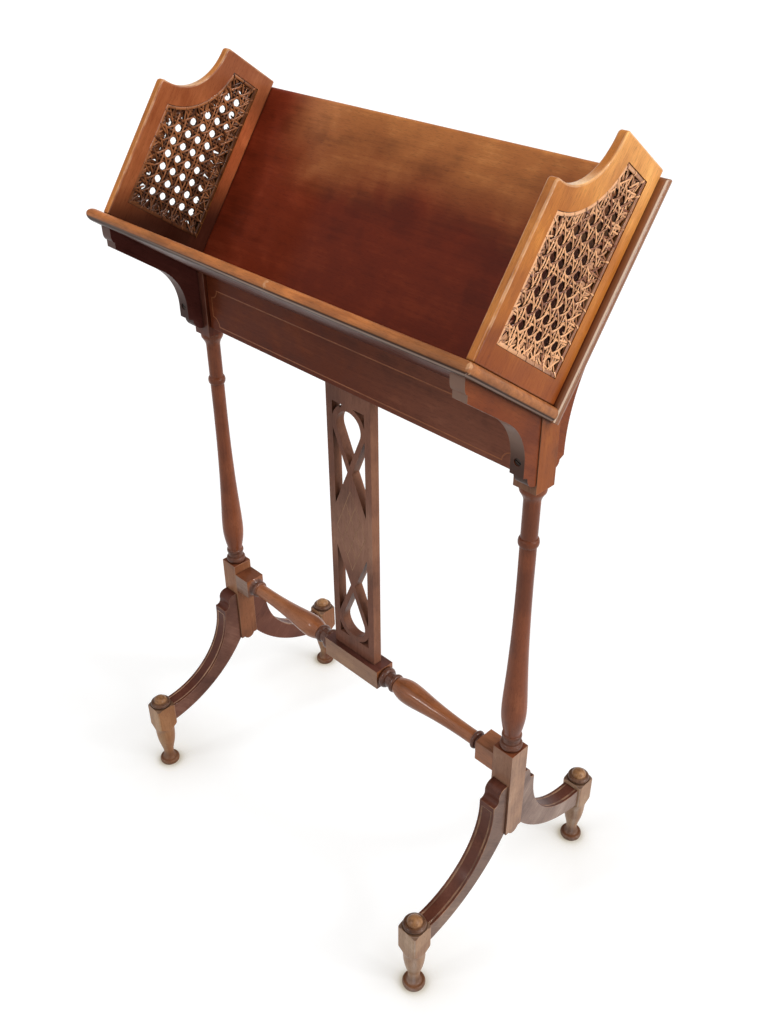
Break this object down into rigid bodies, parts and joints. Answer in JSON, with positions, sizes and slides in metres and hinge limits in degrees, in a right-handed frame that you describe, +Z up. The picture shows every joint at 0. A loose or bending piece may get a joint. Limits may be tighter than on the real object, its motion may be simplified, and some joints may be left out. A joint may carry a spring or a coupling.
{
  "type": "book trough",
  "caption": "Floor-standing book trough: a V-shaped shelf with caned end panels on turned posts with splayed legs, an inlaid apron and a fretted splat.",
  "frame": {"origin": "on the floor, midway between the feet", "axes": "+X along the trough to the right, -Y to the front, +Z up"},
  "size_m": [0.503, 0.309, 0.8683],
  "materials": {
    "mahogany": "polished, lightly worn",
    "panel_mahogany": "polished, lightly worn",
    "dark_mahogany": "satin polish",
    "worn_mahogany": "polished, worn",
    "button_wood": "polished, rubbed pale",
    "boxwood": "flush stringing under polish",
    "cane": "hand-woven cane, aged",
    "screw_steel": "dark, aged"
  },
  "bodies": {
    "root": {"back_board": "mahogany", "shelf_board": "mahogany", "end_panel_left": "panel_mahogany", "end_panel_right": "panel_mahogany", "cane_left": "cane", "cane_right": "cane", "binding_outer_left": "cane", "binding_inner_left": "cane", "binding_outer_right": "cane", "binding_inner_right": "cane", "post_left": "mahogany", "post_right": "mahogany", "apron": "dark_mahogany", "apron_stringing": "boxwood", "stretcher": "worn_mahogany", "splat": "dark_mahogany", "splat_stringing": "boxwood", "leg_front_left": "dark_mahogany", "leg_front_right": "dark_mahogany", "leg_rear_left": "dark_mahogany", "leg_rear_right": "dark_mahogany", "leg_stringing_front_left": "boxwood", "leg_stringing_front_right": "boxwood", "leg_stringing_rear_left": "boxwood", "leg_stringing_rear_right": "boxwood", "foot_front_left": "worn_mahogany", "foot_front_right": "worn_mahogany", "foot_rear_left": "worn_mahogany", "foot_rear_right": "worn_mahogany", "foot_button_front_left": "button_wood", "foot_button_front_right": "button_wood", "foot_button_rear_left": "button_wood", "foot_button_rear_right": "button_wood", "bracket_front_left": "dark_mahogany", "bracket_front_right": "dark_mahogany", "bracket_rear_left": "mahogany", "bracket_rear_right": "mahogany", "bracket_screw_left": "screw_steel", "bracket_screw_right": "screw_steel"}
  },
  "joints": []
}
